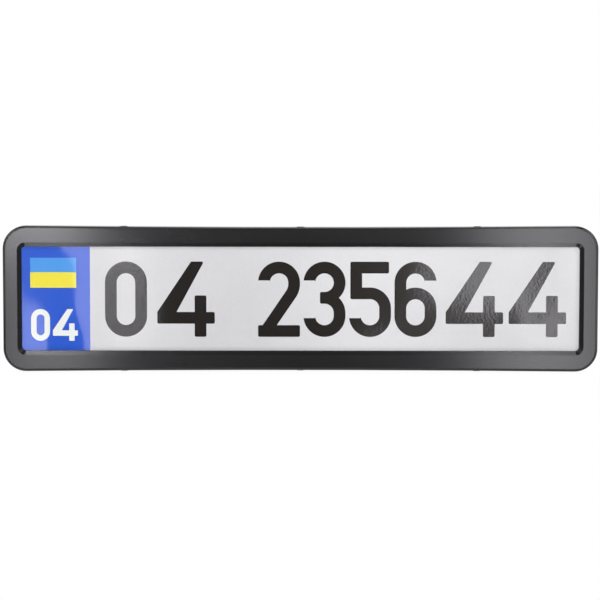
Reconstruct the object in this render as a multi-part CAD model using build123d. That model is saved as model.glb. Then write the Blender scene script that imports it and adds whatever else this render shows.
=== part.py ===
from build123d import *
import math
import os

# Number plate holder for a car, in millimetres: a moulded base tray that is screwed to the bumper,
# the number plate that lies in it, and a frame that clips over both. Each piece is drawn lying on
# its back, with X along the plate, Y up the plate and Z towards the viewer, and is then stood up to
# face -Y. The rear plane of the tray is at Y = 0, with the middle of the screw slots as the origin.

# Number plate
PLATE_LENGTH = 520.0
PLATE_HEIGHT = 112.0
PLATE_THICKNESS = 1.0
PLATE_CORNER_RADIUS = 10.0

# Clip frame: a channel of skirt, front wall and sloping lip, open to the rear
SKIRT_WALL = 1.8
SKIRT_LIFT = 1.0  # from the rear plane to the skirt's rear edge
SKIRT_DRAFT = 1.0  # degrees
FRONT_WALL = 2.0
FRAME_CORNER_RADIUS = 20.5
EDGE_ROUND = 2.4  # front outer edge
SIDE_BOW = 1.4  # how far each long side is drawn in at its middle
END_COVER = 11.2  # how far the lip reaches over each end of the plate
LONG_COVER = 9.5  # how far the lip reaches over each long edge of the plate
VIEW_CORNER_RADIUS = 3.4
LIP_RISE = 5.5  # from the plate's face to the frame's face
LIP_LAND = 3.4  # straight foot of the lip, before the slope
LIP_FOOT = 2.4  # width of the lip where it bears on the plate
BEVEL_RUN = 3.75  # how far the slope leans back
BEVEL_ROUND = 0.6  # edge between the slope and the front wall
GUSSET_WALL = 1.2
GUSSET_HEIGHT = 1.8
GUSSET_PITCH = 45.0

# Base tray: a ribbed panel with the plate's seat in front and feet behind
TRAY_CLEARANCE = 0.4  # between the tray's edge and the skirt
PANEL_WALL = 2.0
FOOT_HEIGHT = 2.5
FOOT_WALL = 1.6
RIB_WALL = 1.5
SEAT_HEIGHT = 1.5
FENCE_WALL = 1.3
FENCE_LENGTH = 24.0
FENCE_RISE = 0.4  # above the plate's face
PLATE_CLEARANCE = 0.5  # between the plate's edge and the fences
END_SHELF = 1.5  # tray outside the end fences

# Lightening windows, in two rows
WINDOW_LENGTH = 46.0
WINDOW_HEIGHT = 28.0
WINDOW_PITCH = 60.0
WINDOW_CORNER_RADIUS = 4.0
WINDOW_RIB_GAP = 0.75  # between a window and the ribs beside its row
ROW_SPACING = 56.0

# Screw slots, each in a dish that keeps the screw head below the plate
SLOT_LENGTH = 20.0
SLOT_WIDTH = 6.2
CORNER_SLOT_SPACING = 180.0
CENTRE_SLOT_SPACING = 300.0
HEAD_ROOM = 4.8  # from the slot's edge to the wall of the dish
DISH_WALL = 1.6
DISH_FLOOR = 2.0

# Latches: hooks on the tray's long edges that catch in holes in the skirt
HOOKS_PER_EDGE = 3
HOOK_PITCH = 157.5
HOOK_WIDTH = 7.0
HOOK_WALL = 1.3
HOOK_PROUD = 0.45  # nose beyond the skirt
HOOK_SET_IN = 0.1  # from the tray's edge to the hook's stem
CATCH_RISE = 1.9  # from the panel's front to the catch face
NOSE_LAND = 0.9
NOSE_RISE = 2.7  # from the catch face to the hook's tip
NOSE_BREAK = 0.8  # corners of the nose
CATCH_CLEARANCE = 0.15
HOOK_SIDE_CLEARANCE = 0.5
RELIEF_WIDTH = 1.5
RELIEF_LENGTH = 9.0

# How far a cutter runs past the face that it leaves by
OVERRUN = 1.0

# Heights above the rear plane
PANEL_BACK = FOOT_HEIGHT
PANEL_FRONT = PANEL_BACK + PANEL_WALL
PLATE_BACK = PANEL_FRONT + SEAT_HEIGHT
PLATE_FRONT = PLATE_BACK + PLATE_THICKNESS
FRAME_FACE = PLATE_FRONT + LIP_RISE
FRONT_WALL_BACK = FRAME_FACE - FRONT_WALL
CATCH_LEVEL = PANEL_FRONT + CATCH_RISE
HOOK_TIP = CATCH_LEVEL + NOSE_RISE

# Outlines, from the plate outwards: fences, tray, inside of the skirt, outside of the skirt
FENCE_GROWTH = PLATE_CLEARANCE + FENCE_WALL
HOOK_SWING = TRAY_CLEARANCE + SKIRT_WALL + HOOK_PROUD
TRAY_LENGTH = PLATE_LENGTH + 2 * (FENCE_GROWTH + END_SHELF)
TRAY_HEIGHT = PLATE_HEIGHT + 2 * (FENCE_GROWTH + HOOK_SWING + HOOK_WALL + SIDE_BOW)  # at the ends
SKIRT_GROWTH = TRAY_CLEARANCE + SKIRT_WALL
FRAME_LENGTH = TRAY_LENGTH + 2 * SKIRT_GROWTH
FRAME_HEIGHT = TRAY_HEIGHT + 2 * SKIRT_GROWTH
VIEW_LENGTH = PLATE_LENGTH - 2 * END_COVER
VIEW_HEIGHT = PLATE_HEIGHT - 2 * LONG_COVER
BEVEL_LEAN = math.degrees(math.atan2(BEVEL_RUN, LIP_RISE - LIP_LAND))

# Dish around a screw slot, and the ribs above and below a row of windows
POCKET_LENGTH = SLOT_LENGTH + 2 * HEAD_ROOM
POCKET_WIDTH = SLOT_WIDTH + 2 * HEAD_ROOM
DISH_LENGTH = POCKET_LENGTH + 2 * DISH_WALL
DISH_WIDTH = POCKET_WIDTH + 2 * DISH_WALL
RIB_OFFSET = WINDOW_HEIGHT / 2 + WINDOW_RIB_GAP + RIB_WALL / 2
INNER_RIB_Y = ROW_SPACING / 2 - RIB_OFFSET
OUTER_RIB_Y = ROW_SPACING / 2 + RIB_OFFSET
CORNER_SLOTS = [(x * CORNER_SLOT_SPACING / 2, y * ROW_SPACING / 2) for x in (-1, 1) for y in (-1, 1)]
CENTRE_SLOTS = [(x * CENTRE_SLOT_SPACING / 2, 0) for x in (-1, 1)]
HOOK_POSITIONS = [(i - (HOOKS_PER_EDGE - 1) / 2) * HOOK_PITCH for i in range(HOOKS_PER_EDGE)]


def raised(outline, back, front):
    """Block of an outline between two heights."""
    return Pos(0, 0, back) * extrude(outline, front - back)


def bar(length, height, x, y, back, front):
    """Straight bar centred on a point, between two heights."""
    return Pos(x, y, 0) * raised(Rectangle(length, height), back, front)


def bow(x):
    """How far a long side of the frame or the tray is drawn in at a place along it."""
    return SIDE_BOW * (1 - (2 * x / FRAME_LENGTH) ** 2)


def frame_outline(inset):
    """Outside of the frame, drawn in by an inset, with rounded corners and slightly bowed long sides."""
    end_x = FRAME_LENGTH / 2 - inset
    end_y = FRAME_HEIGHT / 2 - inset
    sides = [
        ThreePointArc((end_x, end_y), (0, end_y - SIDE_BOW), (-end_x, end_y)),
        Line((-end_x, end_y), (-end_x, -end_y)),
        ThreePointArc((-end_x, -end_y), (0, SIDE_BOW - end_y), (end_x, -end_y)),
        Line((end_x, -end_y), (end_x, end_y)),
    ]
    outline = make_face(sides)
    return fillet(outline.vertices(), FRAME_CORNER_RADIUS - inset)


def view_outline(growth):
    """Opening that the plate is seen through, at the foot of the lip, grown all round."""
    return RectangleRounded(VIEW_LENGTH + 2 * growth, VIEW_HEIGHT + 2 * growth, VIEW_CORNER_RADIUS + growth)


def flared_view(growth, front):
    """Space inside the lip, or inside the lip's back when grown: straight at first and then flared."""
    slope_back = min(PLATE_FRONT + LIP_LAND, front)
    space = raised(view_outline(growth), PLATE_FRONT, slope_back)
    if front > slope_back:
        space += Pos(0, 0, slope_back) * extrude(view_outline(growth), front - slope_back, taper=-BEVEL_LEAN)
    return space


def centred_steps(span, pitch):
    """Places at a pitch on both sides of the middle, as many as a span holds."""
    half_count = int(span / 2 // pitch)
    return [i * pitch for i in range(-half_count, half_count + 1)]


def window_columns():
    """X of the lightening windows: half a pitch off the middle, inside the seat."""
    count = int((VIEW_LENGTH - WINDOW_LENGTH) / 2 / WINDOW_PITCH + 0.5)
    return [side * (i + 0.5) * WINDOW_PITCH for side in (-1, 1) for i in range(count)]


def clear_of_dishes(x, y):
    """True where a window keeps a rib's width to every dish."""
    reach_x = (WINDOW_LENGTH + DISH_LENGTH) / 2 + RIB_WALL
    reach_y = (WINDOW_HEIGHT + DISH_WIDTH) / 2 + WINDOW_RIB_GAP
    places = CORNER_SLOTS + CENTRE_SLOTS
    return all(abs(x - px) > reach_x or abs(y - py) > reach_y for px, py in places)


def clear_of_hooks(x):
    """True where a gusset stands beside every hook."""
    reach = (HOOK_WIDTH + GUSSET_WALL) / 2 + HOOK_SIDE_CLEARANCE
    return all(abs(x - hook_x) > reach for hook_x in HOOK_POSITIONS)


def build_number_plate():
    """Flat plate with rounded corners."""
    return raised(RectangleRounded(PLATE_LENGTH, PLATE_HEIGHT, PLATE_CORNER_RADIUS), PLATE_BACK, PLATE_FRONT)


def build_gussets():
    """Bars across the whole frame that the view opening later cuts to short gussets behind the front wall."""
    back = FRONT_WALL_BACK - GUSSET_HEIGHT
    across = [
        bar(GUSSET_WALL, FRAME_HEIGHT, x, 0, back, FRONT_WALL_BACK)
        for x in centred_steps(VIEW_LENGTH, GUSSET_PITCH)
        if clear_of_hooks(x)
    ]
    along = [
        bar(FRAME_LENGTH, GUSSET_WALL, 0, y, back, FRONT_WALL_BACK)
        for y in centred_steps(VIEW_HEIGHT, GUSSET_PITCH)
    ]
    return across + along


def build_latch_holes():
    """Holes in the skirt's long sides, one for each hook."""
    length = HOOK_WIDTH + 2 * HOOK_SIDE_CLEARANCE
    depth = SKIRT_WALL + 2 * TRAY_CLEARANCE
    back = CATCH_LEVEL - CATCH_CLEARANCE
    front = HOOK_TIP + CATCH_CLEARANCE
    middle = (FRAME_HEIGHT - SKIRT_WALL) / 2
    places = [(x, side * (middle - bow(x))) for x in HOOK_POSITIONS for side in (-1, 1)]
    return [bar(length, depth, x, y, back, front) for x, y in places]


def build_clip_frame():
    """Hollow moulded frame with a drafted skirt, a flared lip, gussets and latch holes."""
    frame = Pos(0, 0, SKIRT_LIFT) * extrude(frame_outline(0), FRAME_FACE - SKIRT_LIFT, taper=SKIRT_DRAFT)
    frame = fillet(frame.faces().sort_by(Axis.Z)[-1].edges(), EDGE_ROUND)
    channel = raised(frame_outline(SKIRT_WALL), SKIRT_LIFT, FRONT_WALL_BACK)
    channel -= flared_view(LIP_FOOT, FRONT_WALL_BACK)
    channel -= build_gussets()
    frame -= channel
    frame -= flared_view(0, FRAME_FACE + OVERRUN)
    front_wall = frame.faces().filter_by(Plane.XY).sort_by(Axis.Z)[-1]
    frame = fillet(front_wall.inner_wires()[0].edges(), BEVEL_ROUND)
    return frame - build_latch_holes()


def build_ribs():
    """Seat under the lip and ribs under the plate, with the ribs behind the panel that stiffen it."""
    ribs = [raised(view_outline(LIP_FOOT) - view_outline(0), PANEL_FRONT, PLATE_BACK)]
    for side in (-1, 1):
        ribs.append(bar(VIEW_LENGTH, RIB_WALL, 0, side * INNER_RIB_Y, PANEL_FRONT, PLATE_BACK))
        for y in (INNER_RIB_Y, OUTER_RIB_Y):
            ribs.append(bar(TRAY_LENGTH - FOOT_WALL, RIB_WALL, 0, side * y, 0, PANEL_BACK))
    for x in centred_steps(VIEW_LENGTH, WINDOW_PITCH):
        ribs.append(bar(RIB_WALL, 2 * OUTER_RIB_Y, x, 0, 0, PANEL_BACK))
    return ribs


def build_fences():
    """Low walls that keep the plate from sliding: four along each long edge and two at each end."""
    front = PLATE_FRONT + FENCE_RISE
    long_y = PLATE_HEIGHT / 2 + FENCE_GROWTH - FENCE_WALL / 2
    end_x = PLATE_LENGTH / 2 + FENCE_GROWTH - FENCE_WALL / 2
    corner_x = PLATE_LENGTH / 2 - PLATE_CORNER_RADIUS - FENCE_LENGTH / 2
    corner_y = PLATE_HEIGHT / 2 - PLATE_CORNER_RADIUS - FENCE_LENGTH / 2
    fences = []
    for side in (-1, 1):
        for x in (-corner_x, -HOOK_PITCH / 2, HOOK_PITCH / 2, corner_x):
            fences.append(bar(FENCE_LENGTH, FENCE_WALL, x, side * long_y, PANEL_FRONT, front))
        for y in (-corner_y, corner_y):
            fences.append(bar(FENCE_WALL, FENCE_LENGTH, side * end_x, y, PANEL_FRONT, front))
    return fences


def build_hook():
    """One latch at the tray's upper edge: an upright stem and a nose with a sloping front."""
    outside = TRAY_HEIGHT / 2 - HOOK_SET_IN
    inside = outside - HOOK_WALL
    nose = FRAME_HEIGHT / 2 + HOOK_PROUD
    profile = Polyline(
        (inside, PANEL_BACK),
        (outside, PANEL_BACK),
        (outside, CATCH_LEVEL),
        (nose, CATCH_LEVEL),
        (nose, CATCH_LEVEL + NOSE_LAND),
        (outside, HOOK_TIP),
        (inside, HOOK_TIP),
        close=True,
    )
    hook = extrude(Plane.YZ * make_face(profile), HOOK_WIDTH / 2, both=True)
    return chamfer(hook.edges().filter_by(Axis.Z).group_by(Axis.Y)[-1], NOSE_BREAK)


def build_reliefs():
    """Slits beside one upper hook, and the gap in the foot below it, that let the hook bend."""
    slit_length = RELIEF_LENGTH + OVERRUN
    slit_y = TRAY_HEIGHT / 2 + OVERRUN - slit_length / 2
    slit_x = (HOOK_WIDTH + RELIEF_WIDTH) / 2
    slits = [bar(RELIEF_WIDTH, slit_length, side * slit_x, slit_y, 0, PANEL_FRONT) for side in (-1, 1)]
    gap_width = FOOT_WALL + 2 * OVERRUN
    foot_gap = bar(HOOK_WIDTH, gap_width, 0, (TRAY_HEIGHT - FOOT_WALL) / 2, 0, PANEL_BACK)
    return [*slits, foot_gap]


def build_base_tray():
    """Panel with feet, seat, ribs, fences, screw dishes, lightening windows and latch hooks."""
    tray = raised(frame_outline(SKIRT_GROWTH), PANEL_BACK, PANEL_FRONT)
    tray += raised(frame_outline(SKIRT_GROWTH) - frame_outline(SKIRT_GROWTH + FOOT_WALL), 0, PANEL_BACK)
    tray += build_ribs()
    tray += build_fences()
    places = CORNER_SLOTS + CENTRE_SLOTS
    tray += [Pos(x, y, 0) * raised(SlotOverall(DISH_LENGTH, DISH_WIDTH), 0, PANEL_FRONT) for x, y in places]
    pocket = raised(SlotOverall(POCKET_LENGTH, POCKET_WIDTH), DISH_FLOOR, PLATE_BACK)
    slot = raised(SlotOverall(SLOT_LENGTH, SLOT_WIDTH), 0, DISH_FLOOR)
    tray -= [Pos(x, y, 0) * cutter for x, y in places for cutter in (pocket, slot)]
    window = raised(
        RectangleRounded(WINDOW_LENGTH, WINDOW_HEIGHT, WINDOW_CORNER_RADIUS), PANEL_BACK, PANEL_FRONT
    )
    rows = (-ROW_SPACING / 2, ROW_SPACING / 2)
    tray -= [Pos(x, y, 0) * window for x in window_columns() for y in rows if clear_of_dishes(x, y)]
    hook = build_hook()
    reliefs = build_reliefs()
    for x in HOOK_POSITIONS:
        for turn in (0, 180):
            place = Pos(x, 0, 0) * Rot(0, 0, turn) * Pos(0, -bow(x), 0)
            tray -= [place * cutter for cutter in reliefs]
            tray += place * hook
    return tray


def main():
    """Builds the pieces, stands them up and writes one file for each."""
    os.makedirs("parts", exist_ok=True)
    pieces = {
        "number_plate": build_number_plate(),
        "clip_frame": build_clip_frame(),
        "base_tray": build_base_tray(),
    }
    for name, piece in pieces.items():
        export_step(Rot(90, 0, 0) * piece, f"parts/{name}.step")


main()
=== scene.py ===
"""Looks of a car's number plate holder: a satin clip frame, a moulded tray and a printed plate."""

import logging
import math
from dataclasses import dataclass, field
from enum import Enum
from typing import Any

import bmesh
import bpy
from mathutils import Euler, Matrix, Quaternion, Vector
from mathutils.geometry import delaunay_2d_cdt

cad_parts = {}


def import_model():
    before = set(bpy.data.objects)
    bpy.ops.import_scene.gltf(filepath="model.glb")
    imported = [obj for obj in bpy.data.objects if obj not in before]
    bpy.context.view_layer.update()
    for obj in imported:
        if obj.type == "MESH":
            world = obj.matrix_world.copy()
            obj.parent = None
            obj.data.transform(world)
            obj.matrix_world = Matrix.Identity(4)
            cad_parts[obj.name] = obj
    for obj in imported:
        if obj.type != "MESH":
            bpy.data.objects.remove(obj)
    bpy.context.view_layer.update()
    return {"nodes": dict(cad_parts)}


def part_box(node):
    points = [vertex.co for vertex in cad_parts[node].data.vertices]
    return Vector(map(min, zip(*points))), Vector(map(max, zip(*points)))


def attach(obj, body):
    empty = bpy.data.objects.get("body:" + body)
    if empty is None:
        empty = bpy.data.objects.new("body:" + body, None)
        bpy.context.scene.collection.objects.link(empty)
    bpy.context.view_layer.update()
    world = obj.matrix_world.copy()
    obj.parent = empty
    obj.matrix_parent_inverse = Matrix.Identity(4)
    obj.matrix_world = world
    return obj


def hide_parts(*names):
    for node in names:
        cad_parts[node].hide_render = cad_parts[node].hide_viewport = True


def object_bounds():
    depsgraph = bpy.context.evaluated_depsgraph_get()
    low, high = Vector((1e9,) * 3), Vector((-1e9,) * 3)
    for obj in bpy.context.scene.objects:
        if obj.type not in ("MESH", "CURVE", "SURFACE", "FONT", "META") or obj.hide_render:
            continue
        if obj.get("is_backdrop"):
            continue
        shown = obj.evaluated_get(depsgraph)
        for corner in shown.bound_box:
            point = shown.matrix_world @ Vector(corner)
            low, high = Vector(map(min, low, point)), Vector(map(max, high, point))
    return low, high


LOG = logging.getLogger("number_plate_holder")
MM = 0.001
BODY = "root"

# A corner that turns less than this is left alone, and a rounding takes up to this share of an edge.
SHARP_TURN = math.radians(25.0)
EDGE_SHARE = 0.45
# A bend of a smaller radius is a point, and points of the print within this reach, in mm, are one.
NO_BEND = 1e-9
MERGE_REACH = 1e-5
# What delaunay_2d_cdt calls the triangles inside the outlines.
INSIDE_TRIANGLES = 1

Colour = tuple[float, float, float]
Place = tuple[float, float, float]
Span = tuple[float, float]
Sockets = dict[str | int, Any]
Loop = list[Vector]
Area = tuple[Loop, Loop | None]


class Slot(Enum):
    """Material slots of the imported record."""

    TRAY = "tray_plastic"
    PLATE = "plate_film"


class LampRole(Enum):
    """What a lamp is for: to light the surfaces, or to be mirrored in their gloss."""

    FILL = "fill"
    GLEAM = "gleam"


class PrintField(Enum):
    """Fields of colour on the plate, in the order of their material slots."""

    WHITE = 0
    BAND = 1
    UPPER_STRIPE = 2
    LOWER_STRIPE = 3
    DARK_INK = 4
    PALE_INK = 5
    BACK = 6


PrintArea = tuple[PrintField, Loop, Loop | None]


@dataclass(frozen=True)
class Wire:
    """Output socket of a node, with arithmetic that adds Math nodes."""

    graph: "NodeGraph"
    socket: bpy.types.NodeSocket

    def __add__(self, other: "Wire | float") -> "Wire":
        """Sum of two values."""
        return self.graph.maths("ADD", self, other)

    def __sub__(self, other: "Wire | float") -> "Wire":
        """This value less another."""
        return self.graph.maths("SUBTRACT", self, other)

    def __rsub__(self, other: float) -> "Wire":
        """A number less this value."""
        return self.graph.maths("SUBTRACT", other, self)

    def __mul__(self, other: "Wire | float") -> "Wire":
        """Product of two values."""
        return self.graph.maths("MULTIPLY", self, other)

    def __truediv__(self, other: "Wire | float") -> "Wire":
        """This value divided by another."""
        return self.graph.maths("DIVIDE", self, other)

    def __rtruediv__(self, other: float) -> "Wire":
        """A number divided by this value."""
        return self.graph.maths("DIVIDE", other, self)

    def __pow__(self, power: "Wire | float") -> "Wire":
        """This value to a power."""
        return self.graph.maths("POWER", self, power)

    def __rpow__(self, other: float) -> "Wire":
        """A number to the power of this value."""
        return self.graph.maths("POWER", other, self)

    __radd__ = __add__
    __rmul__ = __mul__

    def __neg__(self) -> "Wire":
        """This value with its sign changed."""
        return self.graph.maths("MULTIPLY", self, -1.0)

    def __abs__(self) -> "Wire":
        """This value without its sign."""
        return self.graph.maths("ABSOLUTE", self)

    def above(self, limit: "Wire | float") -> "Wire":
        """1 where the value is above a limit, and 0 elsewhere."""
        return self.graph.maths("GREATER_THAN", self, limit)

    def most(self, other: "Wire | float") -> "Wire":
        """Larger of two values."""
        return self.graph.maths("MAXIMUM", self, other)


class NodeGraph:
    """Node tree of a material, of the world or of a Geometry Nodes group."""

    def __init__(self, tree: bpy.types.NodeTree) -> None:
        """Takes a node tree and removes its default nodes."""
        self.tree = tree
        tree.nodes.clear()

    def node(self, kind: str, sockets: Sockets | None = None, **settings: str) -> bpy.types.Node:
        """Adds a node.

        Args:
            kind: Type of the node.
            sockets: Values or wires by socket identifier or index.
            settings: Properties of the node, set first.

        Returns:
            The node.
        """
        node = self.tree.nodes.new(kind)
        for name, value in settings.items():
            setattr(node, name, value)
        for key, value in (sockets or {}).items():
            socket = self.pick(node.inputs, key)
            if isinstance(value, Wire):
                self.tree.links.new(value.socket, socket)
            else:
                socket.default_value = value
        return node

    def add(
        self, kind: str, sockets: Sockets | None = None, output: str | int = 0, **settings: str
    ) -> Wire:
        """Adds a node and takes one of its outputs by identifier or index."""
        return Wire(self, self.pick(self.node(kind, sockets, **settings).outputs, output))

    @staticmethod
    def pick(sockets: Any, key: str | int) -> bpy.types.NodeSocket:
        """One of a node's inputs or outputs by its index or identifier."""
        return sockets[key] if isinstance(key, int) else next(s for s in sockets if s.identifier == key)

    def maths(self, operation: str, *values: "Wire | float") -> Wire:
        """Math node on values."""
        return self.add("ShaderNodeMath", dict(enumerate(values)), operation=operation)

    def point(self) -> Wire:
        """Place on the piece, in metres."""
        return self.add("ShaderNodeTexCoord", output="Object")

    def axes(self, place: Wire) -> tuple[Wire, ...]:
        """The three parts of a place or a direction."""
        outputs = self.node("ShaderNodeSeparateXYZ", {"Vector": place}).outputs
        return tuple(Wire(self, output) for output in outputs)

    def rays(self, *kinds: str) -> list[Wire]:
        """1 for rays of each kind, such as Camera or Glossy, and 0 for other rays."""
        path = self.node("ShaderNodeLightPath").outputs
        return [Wire(self, path[f"Is {kind} Ray"]) for kind in kinds]

    def step(self, value: Wire, start: float, end: float, first: float = 0.0, last: float = 1.0) -> Wire:
        """Smooth step between two levels.

        Args:
            value: What drives it.
            start: Value where it leaves the first level.
            end: Value where it reaches the last level.
            first: First level.
            last: Last level.

        Returns:
            The level.
        """
        sockets = {"Value": value, 1: start, 2: end, 3: first, 4: last}
        return self.add("ShaderNodeMapRange", sockets, interpolation_type="SMOOTHSTEP")

    def stretched(self, place: Wire, share: float) -> Wire:
        """Place that draws out what is read there along X, by a scale below 1."""
        return self.add("ShaderNodeMapping", {"Vector": place, "Scale": (share, 1.0, 1.0)})

    def noise(self, place: Wire, pitch: float, detail: float = 2.0, rough: float = 0.5) -> Wire:
        """Soft noise from 0 to 1.

        Args:
            place: Where it is read.
            pitch: Size of its features in metres.
            detail: Octaves of finer noise.
            rough: Share of the finer octaves.

        Returns:
            The noise value.
        """
        sockets = {"Vector": place, "Scale": 1.0 / pitch, "Detail": detail, "Roughness": rough}
        return self.add("ShaderNodeTexNoise", sockets)

    def specks(self, place: Wire, pitch: float, radius: float, share: float) -> Wire:
        """Mask of small round specks, such as dust.

        Args:
            place: Where it is read.
            pitch: Size in metres of the cell that holds one speck at most.
            radius: Radius of a speck in cells.
            share: Share of the cells that hold one.

        Returns:
            1 on a speck and 0 elsewhere, with soft edges.
        """
        cells = self.node("ShaderNodeTexVoronoi", {"Vector": place, "Scale": 1.0 / pitch}).outputs
        distance = Wire(self, cells["Distance"])
        chance = self.add("ShaderNodeSeparateColor", {"Color": Wire(self, cells["Color"])})
        return self.step(distance, 0.5 * radius, radius, 1.0, 0.0) * chance.above(1.0 - share)

    def tinted(self, share: Wire, first: Wire | Colour, second: Colour) -> Wire:
        """Colour between two by a share.

        Args:
            share: Share of the second colour.
            first: First colour, or the wire that carries it.
            second: Second colour.

        Returns:
            The colour.
        """
        below = first if isinstance(first, Wire) else (*first, 1.0)
        sockets = {"Factor_Float": share, "A_Color": below, "B_Color": (*second, 1.0)}
        return self.add("ShaderNodeMix", sockets, "Result_Color", data_type="RGBA")

    def grey(self, level: Wire) -> Wire:
        """Grey of a level."""
        return self.add("ShaderNodeCombineColor", {"Red": level, "Green": level, "Blue": level})

    def bump(self, height: Wire, depth: float, below: Wire | None = None) -> Wire:
        """Normal of a relief.

        Args:
            height: Height from 0 to 1.
            depth: What a height of 1 stands for, in metres.
            below: Normal of a coarser relief under it.

        Returns:
            The normal.
        """
        sockets = {"Height": height, "Distance": depth, "Strength": 1.0}
        if below is not None:
            sockets["Normal"] = below
        return self.add("ShaderNodeBump", sockets)

    def end_principled(self, sockets: dict[str, Any]) -> None:
        """Ends a material in a Principled shader with these values or wires."""
        surface = self.add("ShaderNodeBsdfPrincipled", sockets)
        self.node("ShaderNodeOutputMaterial", {"Surface": surface})


def new_material(name: str) -> tuple[bpy.types.Material, NodeGraph]:
    """Empty node material.

    Args:
        name: Name of the material.

    Returns:
        The material and the graph of its nodes.
    """
    material = bpy.data.materials.new(name)
    material.use_nodes = True
    return material, NodeGraph(material.node_tree)


def add_object(name: str, data: bpy.types.ID) -> bpy.types.Object:
    """Puts an object into the scene.

    Args:
        name: Name of the object.
        data: Its mesh, lamp or camera.

    Returns:
        The object.
    """
    made = bpy.data.objects.new(name, data)
    bpy.context.scene.collection.objects.link(made)
    return made


def add_mesh(name: str, mesh: bmesh.types.BMesh) -> bpy.types.Object:
    """Puts an edited mesh into the scene.

    Args:
        name: Name of the object and of its mesh.
        mesh: The edited mesh, which is freed.

    Returns:
        The object.
    """
    data = bpy.data.meshes.new(name)
    mesh.to_mesh(data)
    mesh.free()
    return add_object(name, data)


@dataclass(frozen=True)
class MouldedPlastic:
    """Black moulded plastic with an eroded grain, flow marks and a little dust."""

    name: str
    colour: Colour
    sheen_colour: Colour
    roughness: float
    roughness_swing: float
    grain_pitch: float
    grain_depth: float
    dust_share: float
    dust_colour: Colour = (0.16, 0.155, 0.145)
    dust_pitch: float = 6 * MM
    dust_radius: float = 0.05
    dust_roughness: float = 0.3
    flow_pitch: float = 18 * MM
    flow_stretch: float = 0.25
    grain_swing: float = 0.06
    ior: float = 1.46

    def material(self) -> bpy.types.Material:
        """Builds the material.

        Returns:
            The material.
        """
        material, graph = new_material(self.name)
        place = graph.point()
        flow = graph.noise(graph.stretched(place, self.flow_stretch), self.flow_pitch, detail=3.0)
        grain = graph.noise(place, self.grain_pitch, rough=0.6)
        dust = graph.specks(place, self.dust_pitch, self.dust_radius, self.dust_share)
        colour = graph.tinted(flow, self.colour, self.sheen_colour)
        rough = self.roughness + self.roughness_swing * (flow - 0.5)
        rough = rough + self.grain_swing * (grain - 0.5) + self.dust_roughness * dust
        graph.end_principled(
            {
                "Base Color": graph.tinted(dust, colour, self.dust_colour),
                "Roughness": rough,
                "Normal": graph.bump(grain, self.grain_depth),
                "IOR": self.ior,
            }
        )
        return material


@dataclass(frozen=True)
class Blister:
    """Low oval swelling of the film, in metres, with its reach to the sides and up and down."""

    x: float
    z: float
    wide: float
    tall: float
    height: float

    def relief(self, graph: NodeGraph, x: Wire, z: Wire) -> Wire:
        """Height of the swelling at a place."""
        span = ((x - self.x) / self.wide) ** 2.0 + ((z - self.z) / self.tall) ** 2.0
        return self.height * graph.maths("EXPONENT", -0.5 * span)


@dataclass(frozen=True)
class FilmWarp:
    """Form of the film: a ripple beside the band, a twist at the right end and low swellings."""

    ripple_middle: float = -195 * MM
    ripple_pitch: float = 176 * MM
    ripple_slope: float = 0.065
    ripple_near: float = 65 * MM
    ripple_far: float = 105 * MM
    twist_middle: float = 168 * MM
    twist_low: float = -40 * MM
    twist_high: float = 20 * MM
    lean_low: float = 0.035
    lean_high: float = -0.042
    twist_near: float = 60 * MM
    twist_far: float = 130 * MM
    wave_pitch: float = 60 * MM
    wave_depth: float = 0.25 * MM
    blisters: tuple[Blister, ...] = (
        Blister(-192 * MM, 54 * MM, 14 * MM, 11 * MM, 0.60 * MM),
        Blister(-222 * MM, -42 * MM, 13 * MM, 28 * MM, 0.90 * MM),
        Blister(-190 * MM, -12 * MM, 10 * MM, 16 * MM, 0.25 * MM),
        Blister(199 * MM, -20 * MM, 12 * MM, 16 * MM, 0.90 * MM),
    )

    def relief(self, graph: NodeGraph, place: Wire) -> Wire:
        """Height of the film.

        Args:
            graph: The material's graph.
            place: Place on the plate.

        Returns:
            The height in metres.
        """
        x, _, z = graph.axes(place)
        turns = 2 * math.pi / self.ripple_pitch
        across = x - self.ripple_middle
        ripple = (-self.ripple_slope / turns) * graph.maths("COSINE", turns * across)
        ripple = ripple * graph.step(abs(across), self.ripple_near, self.ripple_far, 1.0, 0.0)
        beside = x - self.twist_middle
        twist = beside * graph.step(z, self.twist_low, self.twist_high, self.lean_low, self.lean_high)
        twist = twist * graph.step(abs(beside), self.twist_near, self.twist_far, 1.0, 0.0)
        form = ripple + twist + self.wave_depth * graph.noise(place, self.wave_pitch, detail=1.0)
        for blister in self.blisters:
            form = form + blister.relief(graph, x, z)
        return form


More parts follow.
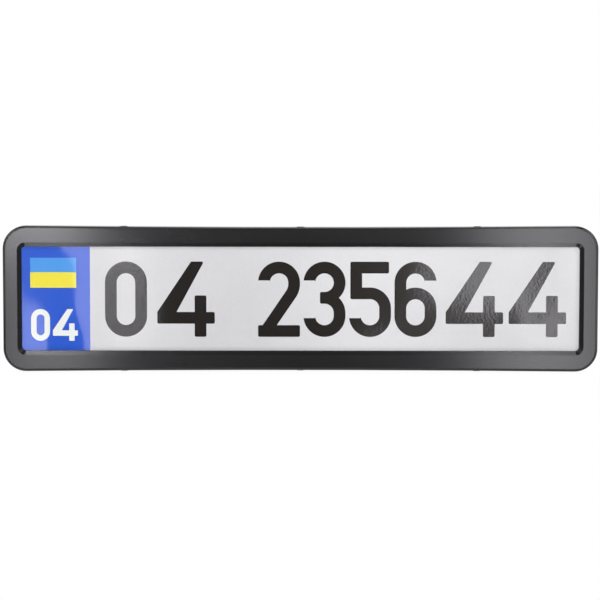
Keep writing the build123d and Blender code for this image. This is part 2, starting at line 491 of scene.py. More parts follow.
@dataclass(frozen=True)
class PrintedFilm:
    """Glossy printed film: warped on the plate, with a fine peel, a mottled print and painted shade.

    The colour has painted shade: it is darker in a dip beside the middle, towards the right end and
    towards the lower edge, and some of it has a painted shadow towards the seam with the band.
    The gloss of some inks has a haze at the right end.
    """

    name: str
    colour: Colour
    # The lighter of the two colours; their mix carries random tone and painted shade.
    lighter_colour: Colour
    ior: float = 1.46
    roughness: float = 0.07
    peel_pitch: float = 2.6 * MM
    peel_depth: float = 0.010 * MM
    # Painted shade: the colour is darker in a dip about dip_middle, towards the right end by ebb and
    # towards the lower edge by rise.
    dip_middle: float = -66 * MM
    dip_reach: float = 150 * MM
    ebb_start: float = 60 * MM
    ebb_end: float = 170 * MM
    ebb: float = 1.0
    # Painted shadow of the lip: the colour is darker towards the seam with the band.
    seam_start: float = -150 * MM
    seam_end: float = -184 * MM
    seam_painted_shadow: float = 0.0
    rise: float = 2.4
    haze: float = 0.0
    haze_start: float = 20 * MM
    haze_end: float = 110 * MM
    haze_roughness: float = 0.32
    cloud_pitch: float = 30 * MM
    cloud_swing: float = 0.02
    mottle_pitch: float = 1.6 * MM
    mottle_swing: float = 0.03
    # Offset and share of the mix of the two colours, which carries random tone and painted shade.
    tone_offset: float = 0.25
    tone_and_shade_share: float = 0.25
    warp: FilmWarp = FilmWarp()

    def material(self) -> bpy.types.Material:
        """Builds the material.

        Returns:
            The material.
        """
        material, graph = new_material(self.name)
        place = graph.point()
        cloud = graph.noise(place, self.cloud_pitch, detail=3.0)
        mottle = graph.noise(place, self.mottle_pitch, rough=0.6)
        x, _, z = graph.axes(place)
        # Painted shade: darker in a dip beside the middle and towards the right end.
        painted_shade = graph.step(abs(x - self.dip_middle), 0.0, self.dip_reach, -1.0, 1.0)
        painted_shade = painted_shade - graph.step(x, self.ebb_start, self.ebb_end, 0.0, self.ebb)
        # Painted shadow of the lip beside the band.
        painted_shade = painted_shade - graph.step(x, self.seam_end, self.seam_start, self.seam_painted_shadow, 0.0)
        share = self.tone_and_shade_share
        # The mix carries random tone from cloud and mottle, plus painted shade that darkens towards the
        # lower edge.
        tone_and_painted_shade = share * painted_shade + self.rise * z + share * cloud + share * mottle + self.tone_offset
        peel = graph.noise(place, self.peel_pitch)
        rough = self.roughness + self.mottle_swing * (mottle - 0.5) + self.cloud_swing * (cloud - 0.5)
        form = graph.bump(self.warp.relief(graph, place), 1.0)
        graph.end_principled(
            {
                "Base Color": graph.tinted(tone_and_painted_shade, self.colour, self.lighter_colour),
                "Roughness": rough,
                "Normal": graph.bump(peel, self.peel_depth, form),
                "IOR": self.ior,
                "Coat Weight": graph.step(x, self.haze_start, self.haze_end, 0.0, self.haze),
                "Coat Roughness": self.haze_roughness,
            }
        )
        return material


@dataclass(frozen=True)
class PlateBoard:
    """Uncoated back of the plate: chalky white board with a fine roller texture."""

    name: str
    colour: Colour
    light_colour: Colour
    cloud_pitch: float = 40 * MM
    cloud_share: float = 0.6
    roller_pitch: float = 2 * MM
    roller_stretch: float = 0.15
    roller_depth: float = 0.02 * MM
    roughness: float = 0.5
    roughness_swing: float = 0.15

    def material(self) -> bpy.types.Material:
        """Builds the material.

        Returns:
            The material.
        """
        material, graph = new_material(self.name)
        place = graph.point()
        roller = graph.noise(graph.stretched(place, self.roller_stretch), self.roller_pitch, detail=3.0)
        cloud = graph.noise(place, self.cloud_pitch, detail=3.0)
        share = self.cloud_share * cloud + (1.0 - self.cloud_share) * roller
        graph.end_principled(
            {
                "Base Color": graph.tinted(share, self.colour, self.light_colour),
                "Roughness": self.roughness + self.roughness_swing * (cloud - 0.5),
                "Normal": graph.bump(roller, self.roller_depth),
            }
        )
        return material


@dataclass(frozen=True)
class StudioPaper:
    """White paper that shows as white and still takes the object's shadow."""

    name: str
    albedo: float = 0.86
    white: float = 1.08
    shadow_share: float = 0.12
    tooth_pitch: float = 6 * MM
    tooth_swing: float = 0.02

    def material(self) -> bpy.types.Material:
        """Builds the material.

        Returns:
            The material.
        """
        material, graph = new_material(self.name)
        tooth = graph.noise(graph.point(), self.tooth_pitch, detail=3.0)
        colour = graph.grey(self.albedo + self.tooth_swing * (tooth - 0.5))
        paper = graph.add("ShaderNodeBsdfDiffuse", {"Color": colour})
        glow = graph.add("ShaderNodeEmission", {"Color": (1.0, 1.0, 1.0, 1.0), "Strength": self.white})
        camera, gloss, through = graph.rays("Camera", "Glossy", "Transmission")
        share = camera.most(gloss).most(through) * (1.0 - self.shadow_share)
        surface = graph.add("ShaderNodeMixShader", {0: share, 1: paper, 2: glow})
        graph.node("ShaderNodeOutputMaterial", {"Surface": surface})
        return material


def turned(vector: Vector, angle: float) -> Vector:
    """Plane vector turned to the left by an angle."""
    c, s = math.cos(angle), math.sin(angle)
    return Vector((c * vector.x - s * vector.y, s * vector.x + c * vector.y))


def left_of(vector: Vector) -> Vector:
    """Unit vector to the left of a plane vector."""
    unit = vector.normalized()
    return Vector((-unit.y, unit.x))


def box_loop(left: float, low: float, right: float, high: float) -> Loop:
    """Outline of a rectangle."""
    return [Vector((left, low)), Vector((right, low)), Vector((right, high)), Vector((left, high))]


def moved(loop: Loop | None, shift: Vector) -> Loop | None:
    """Outline moved in its plane, or None for none."""
    return [point + shift for point in loop] if loop else None


def eased(loop: Loop, radius: float, steps: int = 4) -> Loop:
    """Outline with its sharp corners rounded.

    Args:
        loop: Closed outline.
        radius: Radius of the corners, less where an edge is short.
        steps: Segments of each corner.

    Returns:
        The new outline.
    """
    made: Loop = []
    for i, corner in enumerate(loop):
        back, ahead = loop[i - 1] - corner, loop[(i + 1) % len(loop)] - corner
        turn = math.pi - back.angle(ahead)
        if turn < SHARP_TURN:
            made.append(corner)
            continue
        reach = min(radius * math.tan(turn / 2), EDGE_SHARE * back.length, EDGE_SHARE * ahead.length)
        start, end = corner + back.normalized() * reach, corner + ahead.normalized() * reach
        for k in range(steps + 1):
            t = k / steps
            made.append(start * (1 - t) ** 2 + corner * 2 * t * (1 - t) + end * t**2)
    return made


@dataclass(frozen=True)
class Stroke:
    """Pen stroke of even width along straight runs with rounded corners.

    Each corner is (x, y, radius of the middle line). A closed stroke runs anticlockwise.
    """

    corners: tuple[tuple[float, float, float], ...]
    closed: bool = False
    steps: int = 14

    def side(self, shift: float) -> Loop:
        """Line to one side of the middle line.

        Args:
            shift: Distance to the left of it.

        Returns:
            The points of the line.
        """
        points = [Vector(corner[:2]) for corner in self.corners]
        count = len(points)
        line: Loop = []
        for i, (x, y, radius) in enumerate(self.corners):
            corner = Vector((x, y))
            if not self.closed and i in (0, count - 1):
                run = points[1] - corner if i == 0 else corner - points[-2]
                line.append(corner + left_of(run) * shift)
                continue
            into = (corner - points[i - 1]).normalized()
            out = (points[(i + 1) % count] - corner).normalized()
            turn = math.atan2(into.cross(out), into.dot(out))
            hand = math.copysign(1.0, turn)
            bend = radius - hand * shift
            if bend <= NO_BEND:
                line.append(corner + (left_of(into) + left_of(out)) * shift / (1 + math.cos(turn)))
                continue
            centre = corner - into * radius * math.tan(abs(turn) / 2) + left_of(into) * hand * radius
            spoke = left_of(into) * -hand * bend
            line += [centre + turned(spoke, turn * k / self.steps) for k in range(self.steps + 1)]
        return line

    def area(self, width: float, ease: float) -> Area:
        """Outline of the stroke.

        Args:
            width: Width of the stroke.
            ease: Radius that its sharp corners get.

        Returns:
            The outer outline, and the inner one of a closed stroke.
        """
        outer, inner = self.side(-width / 2), self.side(width / 2)
        if self.closed:
            return outer, inner
        return eased(outer + inner[::-1], ease), None


@dataclass(frozen=True)
class Numerals:
    """Plain numerals of one stroke width, drawn about their own middle in millimetres.

    The numbers after the ease are shares of the height, of half the width or of the stroke. Those of
    one numeral are named after it.
    """

    height: float
    width: float
    four_width: float
    stroke: float
    ease: float
    waist: float = 0.02
    bowl: float = 0.08
    tip: float = 0.25
    two_foot: float = 0.88
    two_neck: float = 0.13
    two_bend: float = 1.2
    three_inner: float = 0.3
    four_bar: float = 0.17
    four_apex: float = 0.40
    four_stem: float = 0.30
    four_stem_top: float = 0.10
    four_lean: float = 1.1
    five_back: float = 0.94
    five_flag: float = 0.9
    six_start: float = 0.2

    def areas(self, numeral: int, middle: Vector) -> list[Area]:
        """Areas that make up a numeral in its place.

        Args:
            numeral: 0, 2, 3, 4, 5 or 6.
            middle: Where its middle goes.

        Returns:
            Outer outlines, each with the outline of its hole or None.
        """
        top, side = (self.height - self.stroke) / 2, (self.width - self.stroke) / 2
        edge, high, half = self.width / 2, self.height / 2, self.stroke / 2
        waist, bowl, tip = self.waist * self.height, self.bowl * self.height, self.tip * self.height
        upper_arch = ((-side, tip, 0.0), (-side, top, side), (side, top, side))
        lower_arch = ((side, -top, side), (-side, -top, side), (-side, -tip, 0.0))
        strokes: list[Stroke] = []
        plates: list[Loop] = []
        if numeral == 0:
            strokes.append(self.ring(-side, -top, side, top))
        elif numeral == 2:
            neck = (side, self.two_neck * self.height, self.two_bend * side)
            foot = (-self.two_foot * side, -top, 0.0)
            strokes.append(Stroke((*upper_arch, neck, foot)))
            plates.append(box_loop(-edge, -high, edge, -high + self.stroke))
        elif numeral == 3:
            inner = (-self.three_inner * side, waist, 0.0)
            strokes.append(Stroke((*upper_arch, (side, waist, side), inner)))
            strokes.append(Stroke((inner, (side, waist, side), *lower_arch)))
        elif numeral == 4:
            plates += self.four()
        elif numeral == 5:
            strokes.append(Stroke(((-side, bowl, 0.0), (side, bowl, side), *lower_arch)))
            left, right = -self.five_back * edge, self.five_flag * edge
            plates.append(box_loop(left, high - self.stroke, right, high))
            plates.append(box_loop(left, bowl - half, left + self.stroke, high))
        elif numeral == 6:
            strokes.append(self.ring(-side, -top, side, bowl))
            start = (-side, -self.six_start * top, 0.0)
            strokes.append(Stroke((start, (-side, top, side), (side, top, side), (side, tip, 0.0))))
        drawn = [stroke.area(self.stroke, self.ease) for stroke in strokes]
        drawn += [(eased(plate, self.ease), None) for plate in plates]
        return [(moved(outer, middle), moved(hole, middle)) for outer, hole in drawn]

    def four(self) -> list[Loop]:
        """Draws the numeral 4 as a diagonal, a bar and a short stem.

        Returns:
            Their outlines.
        """
        edge, high = self.four_width / 2, self.height / 2
        bar, apex, stem = -self.four_bar * self.height, self.four_apex * edge, self.four_stem * edge
        lean = self.four_lean * self.stroke
        diagonal = [
            Vector((-edge, bar - self.stroke)),
            Vector((-edge + lean, bar - self.stroke)),
            Vector((apex + lean / 2, high)),
            Vector((apex - lean / 2, high)),
            Vector((-edge, bar)),
        ]
        across = box_loop(-edge, bar - self.stroke, edge, bar)
        upright = box_loop(stem, -high, stem + self.stroke, self.four_stem_top * high)
        return [diagonal, across, upright]

    @staticmethod
    def ring(left: float, low: float, right: float, high: float) -> Stroke:
        """Closed stroke with half-round ends."""
        turn = (right - left) / 2
        return Stroke(tuple((*corner, turn) for corner in box_loop(left, low, right, high)), closed=True)


@dataclass
class NumberPlate:
    """Display plate: a white board with a printed film on its face.

    The print is laid out in millimetres from the middle of the plate: a band of colour at the left
    end with two stripes and two small numerals, and a run of large plain numerals.
    """

    corner_radius: float = 10.0
    corner_steps: int = 12
    band_edge: float = -188.0
    band_overhang: float = 1.0
    stripe_box: tuple[float, float, float, float] = (-241.3, 9.5, -200.3, 36.3)
    stripe_divide: float = 23.4
    large: Numerals = Numerals(height=67.4, width=37.5, four_width=51.4, stroke=10.5, ease=1.5)
    large_middle: float = -0.6
    large_places: tuple[tuple[float, int], ...] = (
        (-155.9, 0),
        (-102.3, 4),
        (-19.2, 2),
        (21.4, 3),
        (62.1, 5),
        (102.7, 6),
        (155.4, 4),
        (211.7, 4),
    )
    small: Numerals = Numerals(height=28.5, width=16.9, four_width=22.4, stroke=4.9, ease=0.7)
    small_middle: float = -23.8
    small_places: tuple[tuple[float, int], ...] = ((-232.4, 0), (-210.2, 4))
    finishes: dict[PrintField, PrintedFilm | PlateBoard] = field(
        default_factory=lambda: {
            # The white film carries a painted shadow of the lip beside the band.
            PrintField.WHITE: PrintedFilm(
                "film_white", (0.648, 0.645, 0.668), (0.900, 0.897, 0.922), ior=1.15, seam_painted_shadow=1.0
            ),
            PrintField.BAND: PrintedFilm(
                "film_band_blue", (0.027, 0.102, 0.635), (0.035, 0.122, 0.69), ior=1.40
            ),
            PrintField.UPPER_STRIPE: PrintedFilm(
                "film_stripe_sky", (0.075, 0.33, 0.86), (0.095, 0.37, 0.90)
            ),
            PrintField.LOWER_STRIPE: PrintedFilm(
                "film_stripe_yellow", (0.93, 0.80, 0.055), (0.965, 0.85, 0.075)
            ),
            PrintField.DARK_INK: PrintedFilm(
                "film_ink_dark",
                (0.0125, 0.0100, 0.0085),
                (0.0230, 0.0195, 0.0170),
                ior=1.40,
                roughness=0.15,
                peel_pitch=2.2 * MM,
                peel_depth=0.14 * MM,
                haze=0.3,
            ),
            PrintField.PALE_INK: PrintedFilm(
                "film_ink_pale", (0.88, 0.91, 0.88), (0.915, 0.935, 0.905), ior=1.25
            ),
            PrintField.BACK: PlateBoard("plate_back_board", (0.66, 0.66, 0.67), (0.74, 0.74, 0.74)),
        }
    )

    def outline(self) -> Loop:
        """Outline of the plate, as large as its solid.

        Returns:
            The outline, anticlockwise, in millimetres.
        """
        _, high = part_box("number_plate")
        edge_x, edge_z, radius = high.x / MM, high.z / MM, self.corner_radius
        loop: Loop = []
        for quarter, (sx, sz) in enumerate(((1, 1), (-1, 1), (-1, -1), (1, -1))):
            centre = Vector((sx * (edge_x - radius), sz * (edge_z - radius)))
            for k in range(self.corner_steps + 1):
                angle = math.pi / 2 * (quarter + k / self.corner_steps)
                loop.append(centre + radius * Vector((math.cos(angle), math.sin(angle))))
        return loop

    def print_areas(self) -> list[PrintArea]:
        """Fields of the print, each laid over those before it.

        Returns:
            The field, its outline and the outline of its hole or None. The plate's outline comes first.
        """
        low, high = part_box("number_plate")
        over = self.band_overhang
        band = box_loop(low.x / MM - over, low.z / MM - over, self.band_edge, high.z / MM + over)
        left, bottom, right, top = self.stripe_box
        areas: list[PrintArea] = [
            (PrintField.WHITE, self.outline(), None),
            (PrintField.BAND, band, None),
            (PrintField.UPPER_STRIPE, box_loop(left, self.stripe_divide, right, top), None),
            (PrintField.LOWER_STRIPE, box_loop(left, bottom, right, self.stripe_divide), None),
        ]
        rows = (
            (PrintField.DARK_INK, self.large, self.large_middle, self.large_places),
            (PrintField.PALE_INK, self.small, self.small_middle, self.small_places),
        )
        for ink, numerals, middle, places in rows:
            for x, numeral in places:
                areas += [(ink, *area) for area in numerals.areas(numeral, Vector((x, middle)))]
        return areas

    def cut_face(self, level: float) -> bmesh.types.BMesh:
        """Cuts the plate's face along the print.

        Args:
            level: Y of the face.

        Returns:
            The face, each triangle in the material slot of the last field that covers it.
        """
        areas = self.print_areas()
        points: list[Vector] = []
        faces: list[list[int]] = []
        roles: list[tuple[int, bool]] = []
        for number, (_, outer, hole) in enumerate(areas):
            for loop, is_hole in ((outer, False), (hole, True)):
                if loop is None:
                    continue
                faces.append(list(range(len(points), len(points) + len(loop))))
                points += loop
                roles.append((number, is_hole))
        cut = delaunay_2d_cdt(points, [], faces, INSIDE_TRIANGLES, MERGE_REACH)
        flat, _, triangles, _, _, sources = cut
        mesh = bmesh.new()
        front = [mesh.verts.new((p.x * MM, level, p.y * MM)) for p in flat]
        for triangle, source in zip(triangles, sources):
            inside = {roles[i][0] for i in source if not roles[i][1]}
            inside -= {roles[i][0] for i in source if roles[i][1]}
            if 0 not in inside:
                continue
            face = mesh.faces.new([front[i] for i in triangle])
            face.material_index = areas[max(inside)][0].value
        return mesh

    @staticmethod
    def close_board(mesh: bmesh.types.BMesh, level: float) -> None:
        """Closes the board behind its face with a wall and a back.

        Args:
            mesh: The face.
            level: Y of the back.
        """
        rim = [vertex for vertex in mesh.verts if vertex.is_boundary]
        rim.sort(key=lambda vertex: math.atan2(vertex.co.z, vertex.co.x))
        back = [mesh.verts.new((vertex.co.x, level, vertex.co.z)) for vertex in rim]
        faces = [mesh.faces.new((rim[i - 1], rim[i], back[i], back[i - 1])) for i in range(len(rim))]
        for face in [*faces, mesh.faces.new(back)]:
            face.material_index = PrintField.BACK.value
        bmesh.ops.delete(mesh, geom=[v for v in mesh.verts if not v.link_faces], context="VERTS")
        bmesh.ops.recalc_face_normals(mesh, faces=mesh.faces[:])

    def build(self) -> bpy.types.Object:
        """Builds the plate as one closed board whose face is cut along the print.

        Returns:
            The piece, riding on its body.
        """
        low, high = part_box("number_plate")
        mesh = self.cut_face(low.y)
        self.close_board(mesh, high.y)
        piece = add_mesh("printed_plate", mesh)
        for print_field in PrintField:
            piece.data.materials.append(self.finishes[print_field].material())
        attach(piece, BODY)
        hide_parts("number_plate")
        LOG.info("printed_plate: %d faces", len(piece.data.polygons))
        return piece


@dataclass
class MouldedPiece:
    """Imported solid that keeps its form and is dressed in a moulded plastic."""

    finish: MouldedPlastic

    def dress(self, node: bpy.types.Object) -> None:
        """Gives the solid its finish.

        Args:
            node: The piece's solid.
        """
        node.data.materials.clear()
        node.data.materials.append(self.finish.material())
        LOG.info("%s: dressed in %s", node.name, self.finish.name)


@dataclass
class ClipFrame(MouldedPiece):
    """Front frame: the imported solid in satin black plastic."""

    finish: MouldedPlastic = MouldedPlastic(
        name="frame_satin_black",
        colour=(0.0085, 0.0087, 0.0093),
        sheen_colour=(0.0135, 0.0137, 0.0143),
        roughness=0.19,
        roughness_swing=0.04,
        grain_pitch=0.9 * MM,
        grain_depth=0.006 * MM,
        dust_share=0.05,
    )


@dataclass
class BaseTray(MouldedPiece):
    """Moulded back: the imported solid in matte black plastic, with the marks of the ejector pins."""

    mark_pitch: float = 60 * MM
    mark_columns: int = 8
    mark_row: float = 49 * MM
    mark_rows: int = 3
    mark_radius: float = 3 * MM
    mark_sides: int = 28
    mark_height: float = 0.12 * MM
    panel_back: float = 2.5 * MM
    slot_x: float = 150 * MM
    slot_room: float = 24 * MM
    finish: MouldedPlastic = MouldedPlastic(
        name="tray_matte_black",
        colour=(0.016, 0.016, 0.017),
        sheen_colour=(0.024, 0.024, 0.025),
        roughness=0.46,
        roughness_swing=0.10,
        grain_pitch=1.3 * MM,
        grain_depth=0.03 * MM,
        dust_share=0.10,
    )
    mark_finish: MouldedPlastic = MouldedPlastic(
        name="tray_pin_mark",
        colour=(0.017, 0.017, 0.018),
        sheen_colour=(0.026, 0.026, 0.027),
        roughness=0.30,
        roughness_swing=0.06,
        grain_pitch=0.6 * MM,
        grain_depth=0.006 * MM,
        dust_share=0.05,
    )

    def mark_tree(self, values: dict[str, Any]) -> bpy.types.NodeTree:
        """Geometry Nodes tree that sets low discs on a grid of points, clear of the screw slots.

        Args:
            values: Values of its inputs by name: lengths, a count and a material.

        Returns:
            The tree, with an input of the right kind for each value.
        """
        tree = bpy.data.node_groups.new("ejector_mark_grid", "GeometryNodeTree")
        kinds = {float: "NodeSocketFloat", int: "NodeSocketInt", bpy.types.Material: "NodeSocketMaterial"}
        for name, value in values.items():
            tree.interface.new_socket(name=name, in_out="INPUT", socket_type=kinds[type(value)])
        tree.interface.new_socket(name="Geometry", in_out="OUTPUT", socket_type="NodeSocketGeometry")
        graph = NodeGraph(tree)
        inputs = graph.node("NodeGroupInput").outputs
        size = {socket.name: Wire(graph, socket) for socket in inputs if socket.name}
        sockets = {
            "Size X": size["Pitch"] * (size["Columns"] - 1.0),
            "Size Y": 2.0 * size["Row"],
            "Vertices X": size["Columns"],
            "Vertices Y": self.mark_rows,
        }
        grid = graph.add("GeometryNodeMeshGrid", sockets)
        place = graph.add("GeometryNodeInputPosition")
        x, y, _ = graph.axes(place)
        near_slot = size["Slot Room"].above(abs(abs(x) - size["Slot X"]))
        in_row = (0.5 * size["Row"]).above(abs(y))
        sockets = {"Geometry": grid, "Selection": near_slot * in_row}
        kept = graph.add("GeometryNodeDeleteGeometry", sockets, domain="POINT")
        sockets = {"Vertices": self.mark_sides, "Radius": size["Radius"], "Depth": size["Height"]}
        disc = graph.add("GeometryNodeMeshCylinder", sockets)
        marks = graph.add("GeometryNodeInstanceOnPoints", {"Points": kept, "Instance": disc})
        shift = graph.add("ShaderNodeCombineXYZ", {"Y": -size["Panel"]})
        sockets = {"Geometry": marks, "Translation": shift, "Rotation": Euler((math.pi / 2, 0.0, 0.0))}
        upright = graph.add("GeometryNodeTransform", sockets)
        solid = graph.add("GeometryNodeRealizeInstances", {"Geometry": upright})
        sockets = {"Geometry": solid, "Material": size["Material"]}
        dressed = graph.add("GeometryNodeSetMaterial", sockets)
        graph.node("NodeGroupOutput", {0: dressed})
        return tree

    def build_marks(self) -> bpy.types.Object:
        """Builds the ejector marks on the panel's back as one plain mesh.

        Returns:
            The piece, riding on its body.
        """
        values = {
            "Pitch": self.mark_pitch,
            "Columns": self.mark_columns,
            "Row": self.mark_row,
            "Radius": self.mark_radius,
            "Height": self.mark_height,
            "Panel": self.panel_back,
            "Slot X": self.slot_x,
            "Slot Room": self.slot_room,
            "Material": self.mark_finish.material(),
        }
        tree = self.mark_tree(values)
        maker = add_object("ejector_marks_maker", bpy.data.meshes.new("ejector_marks_maker"))
        modifier = maker.modifiers.new("marks", "NODES")
        modifier.node_group = tree
        for socket in tree.interface.items_tree:
            if socket.in_out == "INPUT":
                modifier[socket.identifier] = values[socket.name]
        made = maker.evaluated_get(bpy.context.evaluated_depsgraph_get())
        data = bpy.data.meshes.new_from_object(made)
        data.name = "ejector_marks"
        maker.modifiers.remove(modifier)
        bpy.data.objects.remove(maker)
        piece = add_object("ejector_marks", data)
        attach(piece, BODY)
        LOG.info("ejector_marks: %d faces", len(data.polygons))
        return piece


@dataclass(frozen=True)
class SoftBox:
    """Rectangular studio lamp with an even face."""

    name: str
    place: Place
    aim: Place
    width: float
    height: float
    radiance: float
    role: LampRole = LampRole.GLEAM
    tint: Colour = (1.0, 1.0, 1.0)

    def build(self) -> bpy.types.Object:
        """Builds the lamp.

        Returns:
            The lamp's object, turned to its aim.
        """
        light = bpy.data.lights.new(self.name, "AREA")
        light.shape = "RECTANGLE"
        light.size, light.size_y = self.width, self.height
        light.energy = self.radiance * math.pi * self.width * self.height
        light.color = self.tint
        lamp = add_object(self.name, light)
        lamp.location = self.place
        lamp.rotation_mode = "QUATERNION"
        lamp.rotation_quaternion = (Vector(self.aim) - Vector(self.place)).to_track_quat("-Z", "Y")
        lamp.visible_camera = False
        lamp.visible_diffuse = self.role is LampRole.FILL
        lamp.visible_glossy = self.role is LampRole.GLEAM
        return lamp


@dataclass(frozen=True)
class LampPanel:
    """Upright lamp that the gloss mirrors, known by its place across and its two ends."""

    name: str
    x: float
    low: float
    high: float
    radiance: float
    width: float = 0.17
    y: float = -0.81
    tint: Colour = (1.0, 0.988, 1.045)

    def box(self) -> SoftBox:
        """The lamp itself.

        Returns:
            The lamp, which faces the rear.
        """
        middle = (self.low + self.high) / 2
        place, aim = (self.x, self.y, middle), (self.x, 0.0, middle)
        height = self.high - self.low
        return SoftBox(self.name, place, aim, self.width, height, self.radiance, tint=self.tint)


@dataclass
class Studio:
    """White studio: a paper floor, a room with pale side walls, lamps and the camera.

    The fills light diffuse surfaces. The panels and the rims are seen only in the gloss: the panels give
    the bands of light on the faces, and the rims the fine light line along the frame's outer edge.
    The spans of the room are parts of a direction: how far it points to the rear, aside or up.
    """

    floor_drop: float = 0.1 * MM
    floor_front: float = -0.03
    floor_length: float = 6.0
    floor_width: float = 8.0
    floor_cells: int = 8
    side_level: float = 0.07
    camera_level: float = 0.20
    left_wall: float = 0.9
    right_wall: float = 1.5
    rear_span: Span = (-0.12, 0.45)
    dark_span: Span = (-0.95, -0.7)
    wall_near: Span = (0.36, 0.48)
    wall_far: Span = (0.60, 0.72)
    wall_rise: Span = (0.25, 0.45)
    wall_rear: Span = (-0.65, -0.50)
    paper: StudioPaper = StudioPaper("studio_paper")
    panels: tuple[LampPanel, ...] = (
        LampPanel("left_low_slope", -0.40, -1.62, -1.26, 10.5, 0.11),
        LampPanel("left_low_edge", -0.345, -0.95, -0.45, 7.0),
        LampPanel("left_main", -0.309, -0.45, 0.0, 5.1, 0.112),
        LampPanel("left_top", -0.3265, 0.0, 0.25, 12.3, 0.117),
        LampPanel("left_high_edge", -0.345, 0.25, 0.55, 6.0),
        LampPanel("left_high_slope", -0.372, 0.88, 1.16, 17.8, 0.09),
        LampPanel("right_low_slope", 0.385, -1.62, -1.26, 13.0, 0.11),
        LampPanel("right_low_edge", 0.313, -0.72, -0.45, 8.5),
        LampPanel("right_main", 0.300, -0.45, 0.25, 5.1, 0.156),
        LampPanel("right_high_edge", 0.313, 0.25, 0.55, 8.5),
        LampPanel("right_high_slope", 0.33, 0.88, 1.16, 9.6, 0.12),
        LampPanel("right_core", 0.305, -0.30, 0.25, 1.2, 0.07, -0.82),
    )
    fills: tuple[SoftBox, ...] = (
        SoftBox("key_lamp", (0.0, -2.4, 0.2), (0.0, 0.0, 0.0), 0.9, 0.7, 12.6, LampRole.FILL),
        SoftBox("high_lamp", (0.0, -1.95, 1.55), (0.0, 0.0, 0.0), 1.6, 0.8, 2.2, LampRole.FILL),
        SoftBox("low_lamp", (0.0, -2.0, -1.45), (0.0, 0.0, 0.0), 1.6, 0.8, 1.8, LampRole.FILL),
    )
    rims: tuple[SoftBox, ...] = (
        SoftBox("left_rim_lamp", (-0.47, -0.15, 0.1), (-0.26, -0.01, 0.1), 0.12, 0.26, 1.9),
        SoftBox("right_rim_lamp", (0.47, -0.15, 0.06), (0.26, -0.01, 0.06), 0.12, 0.3, 3.0),
        SoftBox("top_rim_lamp", (-0.014, -0.19, 0.96), (-0.014, -0.01, 0.06), 0.36, 0.38, 2.9),
        SoftBox("left_top_lamp", (-0.27, -0.19, 0.96), (-0.27, -0.01, 0.06), 0.1, 0.38, 1.3),
        SoftBox("right_top_lamp", (0.32, -0.19, 0.96), (0.32, -0.01, 0.06), 0.14, 0.38, 4.0),
        SoftBox("left_corner_lamp", (-0.4, -0.15, 0.2), (-0.25, -0.01, 0.05), 0.14, 0.14, 3.4),
        SoftBox("right_corner_lamp", (0.4, -0.15, 0.2), (0.25, -0.01, 0.05), 0.14, 0.14, 4.0),
    )
    sensor: float = 36.0
    camera_distance: float = 2.1
    camera_elevation: float = 4.5
    camera_roll: float = 0.067
    frame_width: float = 0.5346
    aim: Place = (-0.46 * MM, -12.5 * MM, -0.79 * MM)

    def build_floor(self) -> bpy.types.Object:
        """Builds the paper floor below the holder.

        Returns:
            The floor.
        """
        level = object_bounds()[0].z - self.floor_drop
        mesh = bmesh.new()
        half = 0.5
        bmesh.ops.create_grid(mesh, x_segments=self.floor_cells, y_segments=self.floor_cells, size=half)
        for vertex in mesh.verts:
            vertex.co.x *= self.floor_width
            vertex.co.y = self.floor_front + (vertex.co.y + half) * self.floor_length
            vertex.co.z = level
        floor = add_mesh("paper_floor", mesh)
        floor.data.materials.append(self.paper.material())
        floor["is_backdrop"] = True
        LOG.info("paper_floor: at %.4f m", level)
        return floor

    def build_world(self) -> None:
        """Surrounds the object with a room.

        It is white at the rear and to the camera's own rays, dark at the camera's end, and has pale side
        walls. The gloss sees only the middle of the walls' height.
        """
        world = bpy.data.worlds.new("studio_room")
        world.use_nodes = True
        bpy.context.scene.world = world
        graph = NodeGraph(world.node_tree)
        way = graph.add("ShaderNodeTexCoord", output="Generated")
        across, depth, up = graph.axes(way)
        camera, gloss = graph.rays("Camera", "Glossy")
        white = graph.step(depth, *self.rear_span).most(camera)
        front = graph.step(depth, *self.dark_span, self.camera_level, self.side_level)
        walls = self.wall(graph, -across, self.left_wall) + self.wall(graph, across, self.right_wall)
        walls = walls * graph.step(abs(up), *self.wall_rise, 1.0, 0.0).most(1.0 - gloss)
        front = front + walls * graph.step(depth, *self.wall_rear, 1.0, 0.0)
        level = front + (1.0 - front) * white
        sky = graph.add("ShaderNodeBackground", {"Color": graph.grey(level), "Strength": 1.0})
        graph.node("ShaderNodeOutputWorld", {"Surface": sky})
        LOG.info("studio_room: level %.2f round the camera", self.camera_level)

    def wall(self, graph: NodeGraph, aside: Wire, level: float) -> Wire:
        """Pale wall at one side of the camera's end of the room."""
        near = graph.step(aside, *self.wall_near, 0.0, level)
        return near * graph.step(aside, *self.wall_far, 1.0, 0.0)

    def build_camera(self) -> bpy.types.Object:
        """Builds the camera at the photograph's viewing angle.

        Returns:
            The camera's object.
        """
        data = bpy.data.cameras.new("camera")
        data.sensor_width = self.sensor
        data.lens = self.sensor * self.camera_distance / self.frame_width
        camera = add_object("camera", data)
        lift = math.radians(self.camera_elevation)
        back = Vector((0.0, -math.cos(lift), math.sin(lift)))
        camera.location = Vector(self.aim) + back * self.camera_distance
        camera.rotation_mode = "QUATERNION"
        roll = Quaternion((0.0, 0.0, 1.0), math.radians(self.camera_roll))
        camera.rotation_quaternion = (-back).to_track_quat("-Z", "Y") @ roll
        bpy.context.scene.camera = camera
        LOG.info("camera: %.1f mm lens", data.lens)
        return camera

    def build(self) -> None:
        """Builds the whole studio."""
        self.build_floor()
        self.build_world()
        for lamp in [*self.fills, *self.rims, *(panel.box() for panel in self.panels)]:
            lamp.build()
            LOG.info("%s: %.2f by %.2f m", lamp.name, lamp.width, lamp.height)
        self.build_camera()
        bpy.context.scene.view_settings.view_transform = "Standard"


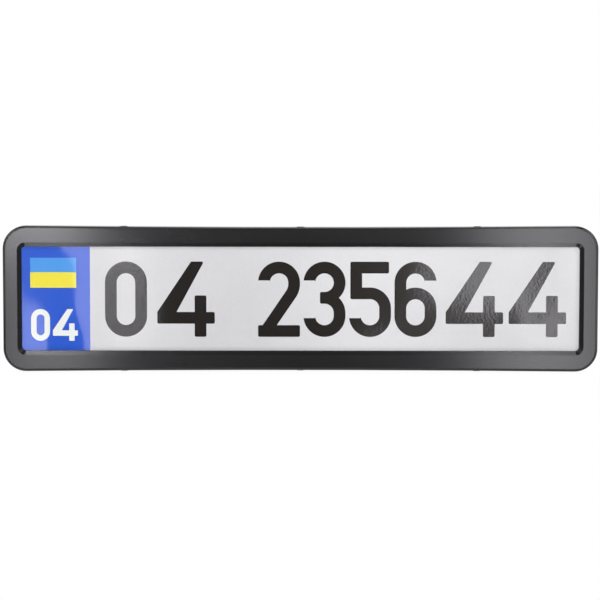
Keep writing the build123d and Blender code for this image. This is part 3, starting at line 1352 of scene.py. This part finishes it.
def main() -> None:
    """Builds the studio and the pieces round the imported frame."""
    logging.basicConfig(level=logging.INFO, format="%(name)s: %(message)s")
    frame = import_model()
    Studio().build()
    ClipFrame().dress(frame["nodes"]["clip_frame"])
    tray = BaseTray()
    tray.dress(frame["nodes"]["base_tray"])
    tray.build_marks()
    NumberPlate().build()


if __name__ == "__main__":
    main()
